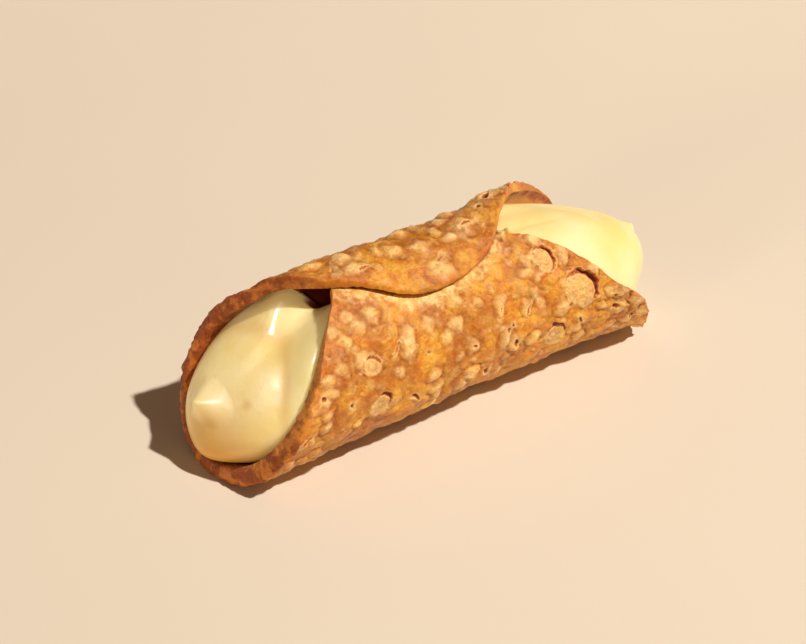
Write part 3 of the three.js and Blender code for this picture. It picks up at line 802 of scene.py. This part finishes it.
# %% Group: uneven tone
def uneven_tone_group():
    """Mixes two colours by soft cloudy noise of a given size."""
    inputs = [("Vector", "NodeSocketVector", None), ("Size", "NodeSocketFloat", 0.01),
              ("Sharpness", "NodeSocketFloat", 0.2), ("Low", "NodeSocketColor", None),
              ("High", "NodeSocketColor", None)]
    outputs = [("Color", "NodeSocketColor"), ("Mask", "NodeSocketFloat")]
    tree, start, end = new_group("uneven tone", inputs, outputs)
    given = start.outputs
    scale = math_node(tree, "DIVIDE", 1.0, given["Size"])
    noise = node(tree, "ShaderNodeTexNoise", {"Vector": given["Vector"], "Scale": scale,
                                              "Detail": 3.0, "Roughness": 0.55})
    low = math_node(tree, "SUBTRACT", 0.5, given["Sharpness"])
    high = math_node(tree, "ADD", 0.5, given["Sharpness"])
    spread = mapped(tree, noise.outputs["Fac"], low, high)
    tree.links.new(mix(tree, spread, given["Low"], given["High"]), end.inputs["Color"])
    tree.links.new(spread, end.inputs["Mask"])
    return tree


uneven_tone = uneven_tone_group()
print("group made:", uneven_tone.name)


# %% Group: fine grain
def fine_grain_group():
    """Tiny bubbles (smooth Voronoi) and crumbly noise, as a height for a Bump node, 0 to 1."""
    inputs = [("Vector", "NodeSocketVector", None), ("Size", "NodeSocketFloat", 0.001),
              ("Bubbles", "NodeSocketFloat", 0.5)]
    tree, start, end = new_group("fine grain", inputs, [("Height", "NodeSocketFloat")])
    given = start.outputs
    scale = math_node(tree, "DIVIDE", 1.0, given["Size"])
    place = {"Vector": given["Vector"], "Scale": scale}
    cells = node(tree, "ShaderNodeTexVoronoi", {**place, "Smoothness": 0.5}, feature="SMOOTH_F1")
    noise = node(tree, "ShaderNodeTexNoise", {**place, "Detail": 4.0, "Roughness": 0.65})
    domes = math_node(tree, "SUBTRACT", 1.0, cells.outputs["Distance"])
    crumbs = mapped(tree, noise.outputs["Fac"], 0.3, 0.7, kind="LINEAR")
    mixed = node(tree, "ShaderNodeMix", {0: given["Bubbles"], 2: crumbs, 3: domes})
    tree.links.new(mixed.outputs[0], end.inputs["Height"])
    return tree


fine_grain = fine_grain_group()
print("group made:", fine_grain.name)


# %% Material helpers
def place_group(tree, group, inputs):
    """Puts a node group into a material with its own values."""
    return node(tree, "ShaderNodeGroup", inputs, node_tree=group).outputs


def new_material(name, **sockets):
    """A material with one Principled shader, its constant sockets set directly. Also gives the
    place on the object, which every pattern is laid out by."""
    material = bpy.data.materials.new(name)
    material.use_nodes = True
    tree = material.node_tree
    shader = tree.nodes["Principled BSDF"]
    for label, value in sockets.items():
        shader.inputs[label.replace("_", " ")].default_value = value
    where = tree.nodes.new("ShaderNodeTexCoord").outputs["Object"]
    return material, tree, shader, where


def attribute(tree, name):
    """One of the masks that the mesh carries."""
    return node(tree, "ShaderNodeAttribute", attribute_name=name).outputs["Fac"]


def bump(tree, shader, height, strength, distance):
    """Lets a height shift the shader's normal; distance is what a height of 1 stands for."""
    inputs = {"Height": height, "Strength": strength, "Distance": distance}
    made = node(tree, "ShaderNodeBump", inputs)
    tree.links.new(made.outputs[0], shader.inputs["Normal"])


# %% [markdown]
# ### Fried dough
# Fried dough is amber where it lies against the oil longest, and nearly cream-coloured on the thin
# skin of a blister. A narrow brown ring of painted shade runs round each blister's foot, where the
# skin bends up. The masks that the relief kept say where. The rims are redder, and the same
# red-brown is painted shade on the inner face inside the front end. The holes are brown dough,
# painted darker inwards as shade, because little light comes back out. Between the grains the
# colour is darkened as painted shade, and their tops are a little lighter as painted light. The
# dough is dry but
# greasy: it gets a rough gloss, a little sheen for its crumbs, and a little scattering, so that
# thin edges glow.

# %% Crust colours and sizes
# brown of the dough's clouds, and also the painted shade in the ring round each blister's foot
BROWN_AND_FOOT_SHADE = linear(164, 80, 8)
AMBER = linear(210, 124, 18)
GOLD = linear(233, 173, 56)
PALE_SKIN = linear(248, 212, 142)
SEAM_CRUMBS = linear(248, 210, 138)
BLUSH = linear(206, 118, 52)
# red-brown of the browned rims, and also painted shade on the inner face inside the front end
RIM_BROWN_AND_INSIDE_SHADE = linear(136, 54, 6)
HOLE_LIGHT = linear(196, 104, 36)
# brown deep in the holes, painted darker as shade because little light comes back out
HOLE_BROWN_AND_SHADE = linear(128, 42, 8)
SHEEN_TINT = (1.0, 0.8, 0.55, 1)
DOUGH_SCATTER = (1.0, 0.35, 0.1)   # how far red, green and blue spread in the dough, as shares
# Sizes in metres of the clouds of colour, and of the grain and crumbs in the surface
BROAD_SIZE, CLOSE_SIZE, SOFT_SIZE, BLUSH_SIZE = 0.010, 0.0034, 0.0016, 0.006
GRAIN_SIZE, CRUMB_SIZE = 0.0009, 0.0005
GRAIN_DEPTH = 0.0004               # metres that the grain seems to stand up


# %% Crust material
def make_crust():
    """Colours laid over one another from the widest to the narrowest, then grain and gloss."""
    material, tree, shader, where = new_material(
        "fried crust", Specular_IOR_Level=0.4, Sheen_Weight=0.1, Sheen_Roughness=0.5,
        Sheen_Tint=SHEEN_TINT, Subsurface_Weight=0.25, Subsurface_Scale=0.0015,
        Subsurface_Radius=DOUGH_SCATTER)
    known = {name: attribute(tree, name)
             for name in ("pale", "foot_shade", "hole", "froth", "seam", "toast", "inside")}

    def over(base, colour, amount):
        return mix(tree, amount, base, colour)

    def add(a, b):
        return math_node(tree, "ADD", a, b)

    def times(a, b):
        return math_node(tree, "MULTIPLY", a, b)

    def step(value, start, end, low=0.0, high=1.0):
        return mapped(tree, value, start, end, low, high)

    def cloud(size, sharpness, low=(0, 0, 0, 1), high=(1, 1, 1, 1)):
        inputs = {"Vector": where, "Size": size, "Sharpness": sharpness, "Low": low, "High": high}
        return place_group(tree, uneven_tone, inputs)

    def grain_of(size, bubbles):
        inputs = {"Vector": where, "Size": size, "Bubbles": bubbles}
        return place_group(tree, fine_grain, inputs)["Height"]

    grain, crumbs = grain_of(GRAIN_SIZE, 0.55), grain_of(CRUMB_SIZE, 0.3)

    # The dough: clouds of brown, amber and gold, painted shade at each blister's foot, a pale skin
    # on top
    broad = cloud(BROAD_SIZE, 0.15, BROWN_AND_FOOT_SHADE, AMBER)
    close = cloud(CLOSE_SIZE, 0.16, AMBER, GOLD)
    soft = cloud(SOFT_SIZE, 0.2)["Mask"]
    colour = over(broad["Color"], close["Color"], step(broad["Mask"], 0, 1, 0.35, 0.85))
    # painted shade: a brown ring round each blister's foot, where the skin bends up
    colour = over(colour, BROWN_AND_FOOT_SHADE, times(known["foot_shade"], step(soft, 0, 1, 0.45, 0.85)))
    skin_share = times(known["pale"], step(soft, 0, 1, 0.6, 1.1))
    colour = over(colour, PALE_SKIN, times(skin_share, 0.8))
    colour = over(colour, SEAM_CRUMBS, times(known["seam"], step(soft, 0, 1, 0.2, 0.9)))

    # The rims: a blush that ends in red-brown; the same red-brown is painted shade inside the front
    blush = cloud(BLUSH_SIZE, 0.2)["Mask"]
    colour = over(colour, BLUSH, times(known["toast"], step(blush, 0, 1, 0.2, 0.7)))
    browned = times(known["toast"], step(close["Mask"], 0, 1, 0.7, 1.3))
    colour = over(colour, RIM_BROWN_AND_INSIDE_SHADE, step(browned, 0.5, 1.05, 0, 0.9))
    colour = over(colour, RIM_BROWN_AND_INSIDE_SHADE, times(known["inside"], 0.2))

    # Painted shade between the grains and between the froth's bubbles; a little painted light on
    # grain tops
    grain_light_and_shade = add(step(grain, 0.1, 0.75, 0.8, 1.06), step(crumbs, 0.2, 0.8, -0.08, 0.06))
    froth = step(known["froth"], 0.0, 0.3)
    froth_shade = times(froth, step(crumbs, 0.5, 0.3, 0, 0.1))
    grain_light_and_shade = times(grain_light_and_shade, math_node(tree, "SUBTRACT", 1.0, froth_shade))
    colour = mix(tree, 1.0, colour, grain_light_and_shade, "MULTIPLY")

    # Holes with ragged outlines: a thin pale torn edge, then brown with painted shade inwards
    ragged = add(known["hole"], step(crumbs, 0.2, 0.8, -0.1, 0.1))
    torn = times(step(ragged, -0.5, -0.12), step(ragged, 0.02, -0.06))
    colour = over(colour, PALE_SKIN, times(torn, 0.4))
    pit = over(HOLE_LIGHT, HOLE_BROWN_AND_SHADE, step(ragged, 0.0, 0.6))
    colour = over(colour, pit, step(ragged, -0.05, 0.05))
    tree.links.new(colour, shader.inputs["Base Color"])

    tree.links.new(step(close["Mask"], 0, 1, 0.34, 0.55), shader.inputs["Roughness"])
    rough = add(times(grain, 0.7), times(crumbs, step(froth, 0, 1, 0.3, 0.36)))
    bump(tree, shader, rough, 0.9, GRAIN_DEPTH)
    return material


shell.data.materials.append(make_crust())
print("crust material:", shell.data.materials[0].name)

# %% [markdown]
# ### Pastry cream
# Cream lets light in a little way, so its shadows are yellow and never grey. Subsurface scattering
# gives that. Its tone drifts slightly. Painted shade darkens it to amber where one mask says, and
# paints the hollow under the lap dark brown where the other says. Its body is softly glossy, and a
# thin coat on top gives the sharper, wet glints.

# %% Cream material
CREAM_YOLK = linear(241, 216, 134)
CREAM_PALE = linear(248, 232, 182)
# painted shade: the amber that the cream darkens to where the first mask says
CREAM_PAINTED_SHADE = linear(206, 142, 20)
# painted shade: the dark brown of the hollow under the lap
CREAM_HOLLOW_SHADE = linear(96, 30, 8)
CREAM_SCATTER = (1.0, 0.92, 0.65)  # how far red, green and blue spread in it, as shares
DRIFT_SIZE, RIPPLE_SIZE = 0.02, 0.004      # metres: of the drift of tone, and of its ripples
RIPPLE_DEPTH = 0.0003


def make_cream_finish():
    """A drifting pale yellow, with painted shade by the masks, under a thin wet coat."""
    material, tree, shader, where = new_material(
        "pastry cream", Roughness=0.36, Specular_IOR_Level=0.5, Coat_Weight=0.5,
        Coat_Roughness=0.12, Subsurface_Weight=0.7, Subsurface_Scale=0.004,
        Subsurface_Radius=CREAM_SCATTER)
    drift = {"Vector": where, "Size": DRIFT_SIZE, "Sharpness": 0.25,
             "Low": CREAM_YOLK, "High": CREAM_PALE}
    colour = place_group(tree, uneven_tone, drift)["Color"]
    # painted shade from both masks: amber, then dark in the hollow
    for name, other in (("deep_shade", CREAM_PAINTED_SHADE), ("shade", CREAM_HOLLOW_SHADE)):
        colour = mix(tree, attribute(tree, name), colour, other)
    tree.links.new(colour, shader.inputs["Base Color"])
    ripples = {"Vector": where, "Size": RIPPLE_SIZE, "Bubbles": 0.0}
    bump(tree, shader, place_group(tree, fine_grain, ripples)["Height"], 0.25, RIPPLE_DEPTH)
    return material


cream.data.materials.append(make_cream_finish())
print("cream material:", cream.data.materials[0].name)

# %% [markdown]
# ## The studio
# The roll lies on a plain pale floor; painted light makes it a little lighter to the right. One
# high lamp from the right is small enough to model the blisters and to throw a crisp shadow. A
# broad low one, as of a card standing on the left, lights the open front, and a third, as of a
# window behind, adds only glints, above all to the cream. A dim warm room fills the rest. The
# camera looks down on the roll from its front corner with a long lens, so that the roll keeps its
# true proportions.

# %% Floor
FLOOR_HALF = 3.0                 # metres from its middle to its border
FLOOR_LOW = (0.598, 0.513, 0.412, 1)
FLOOR_HIGH = (0.622, 0.541, 0.43, 1)
FLOOR_CLOUD = 0.3                # metres: size of its uneven tone
FLOOR_LIGHT_SLOPE = (5.5, -5.0, 0)     # per metre: the way in which painted light makes its tone lighter
FLOOR_PAINTED_LIGHT = (1.06, 1.22)        # painted light: what its tone is multiplied by, from the dark side to the light


def make_floor():
    """One big square at the height the roll lies on."""
    corners = [(a * FLOOR_HALF, b * FLOOR_HALF, 0) for a, b in ((-1, -1), (1, -1), (1, 1), (-1, 1))]
    mesh = bpy.data.meshes.new("floor")
    mesh.from_pydata(corners, [], [(0, 1, 2, 3)])
    floor = bpy.data.objects.new("floor", mesh)
    bpy.context.scene.collection.objects.link(floor)
    material, tree, shader, where = new_material(
        "painted floor", Roughness=0.9, Specular_IOR_Level=0.1)
    tone = place_group(tree, uneven_tone, {"Vector": where, "Size": FLOOR_CLOUD, "Sharpness": 0.3,
                                           "Low": FLOOR_LOW, "High": FLOOR_HIGH})["Color"]
    # painted light: the floor's tone grows lighter to the right
    slope = node(tree, "ShaderNodeVectorMath", {0: where, 1: FLOOR_LIGHT_SLOPE}, operation="DOT_PRODUCT")
    painted_light = mapped(tree, slope.outputs["Value"], -1, 1, *FLOOR_PAINTED_LIGHT, kind="LINEAR")
    tree.links.new(mix(tree, 1.0, tone, painted_light, "MULTIPLY"), shader.inputs["Base Color"])
    floor.data.materials.append(material)
    print(f"floor: {2 * FLOOR_HALF:.0f} m square")


make_floor()

# %% Camera
CAMERA_TURN, CAMERA_RISE = -34.68, 36.0      # degrees round the roll, and above the floor
CAMERA_AWAY = 472.9                          # mm from the roll's axis
AIM_ASIDE = np.array([-13.93, -5.107])       # mm right and up of the axis that it aims at
PICTURE = (806, 644)                         # pixels
FOCAL_PIXELS = 2000                          # the lens, as pixels of that picture
SENSOR_WIDTH = 36                            # mm


def directions(turn, rise):
    """Unit vectors back towards a viewer at that turn and rise, to its right, and up."""
    a, e = math.radians(turn), math.radians(rise)
    back = np.array([math.sin(a) * math.cos(e), -math.cos(a) * math.cos(e), math.sin(e)])
    right = np.array([math.cos(a), math.sin(a), 0])
    return back, right, np.cross(back, right)


def facing(right, up, back, place):
    """The matrix of an object at place that looks away from back, as cameras and lamps do."""
    matrix = np.eye(4)
    matrix[:3] = np.stack([right, up, back, place], -1)
    return mathutils.Matrix(matrix.tolist())


def make_camera():
    """Stands CAMERA_AWAY from the axis and looks past it by AIM_ASIDE."""
    back, right, up = directions(CAMERA_TURN, CAMERA_RISE)
    place = AXIS + CAMERA_AWAY * back + AIM_ASIDE[0] * right + AIM_ASIDE[1] * up
    data = bpy.data.cameras.new("camera")
    data.sensor_width = SENSOR_WIDTH
    data.lens = FOCAL_PIXELS * SENSOR_WIDTH / PICTURE[0]
    data.clip_start, data.clip_end = 0.01, 20     # metres
    camera = bpy.data.objects.new("camera", data)
    camera.matrix_world = facing(right, up, back, place / 1000)
    bpy.context.scene.collection.objects.link(camera)
    bpy.context.scene.camera = camera
    print(f"camera at {(place / 1000).round(3)} m, lens {data.lens:.1f} mm")


make_camera()

# %% Light
# Lamps, with the direction their light comes from, strength, and how many degrees wide they are.
# One without glints lights matt surfaces only, and one without glow shows in wet ones only.
LAMPS = (
    dict(name="key", towards=(0.5, -0.55, 1.0), energy=4.2, degrees=2.5, color=(1.0, 0.95, 0.885)),
    dict(name="card", towards=(-1.0, -0.25, 0.08), energy=1.65, degrees=14,
         color=(1.0, 0.96, 0.78), glints=False),
    dict(name="window", towards=(-0.62, 0.3, 0.72), energy=1.0, degrees=6,
         color=(1.0, 0.96, 0.9), glow=False),
)
ROOM_COLOR, ROOM_STRENGTH = (1.0, 0.57, 0.34, 1), 0.13


def add_sun(name, towards, energy, degrees, color, glow=True, glints=True):
    """A distant lamp, turned so that it shines from the direction towards."""
    data = bpy.data.lights.new(name, "SUN")
    data.energy, data.angle, data.color = energy, math.radians(degrees), color
    lamp = bpy.data.objects.new(name, data)
    back = np.array(towards) / np.linalg.norm(towards)
    right = np.cross([0, 0, 1], back)
    right /= np.linalg.norm(right)
    lamp.matrix_world = facing(right, np.cross(back, right), back, np.zeros(3))
    lamp.visible_diffuse, lamp.visible_glossy = glow, glints
    bpy.context.scene.collection.objects.link(lamp)


def make_room():
    """The dim warm light from all round, and colours shown as they are."""
    world = bpy.data.worlds.new("room")
    world.use_nodes = True
    background = world.node_tree.nodes["Background"]
    background.inputs["Color"].default_value = ROOM_COLOR
    background.inputs["Strength"].default_value = ROOM_STRENGTH
    bpy.context.scene.world = world
    bpy.context.scene.view_settings.view_transform = "Standard"


for lamp in LAMPS:
    add_sun(**lamp)
make_room()
print("lamps:", ", ".join(lamp["name"] for lamp in LAMPS))
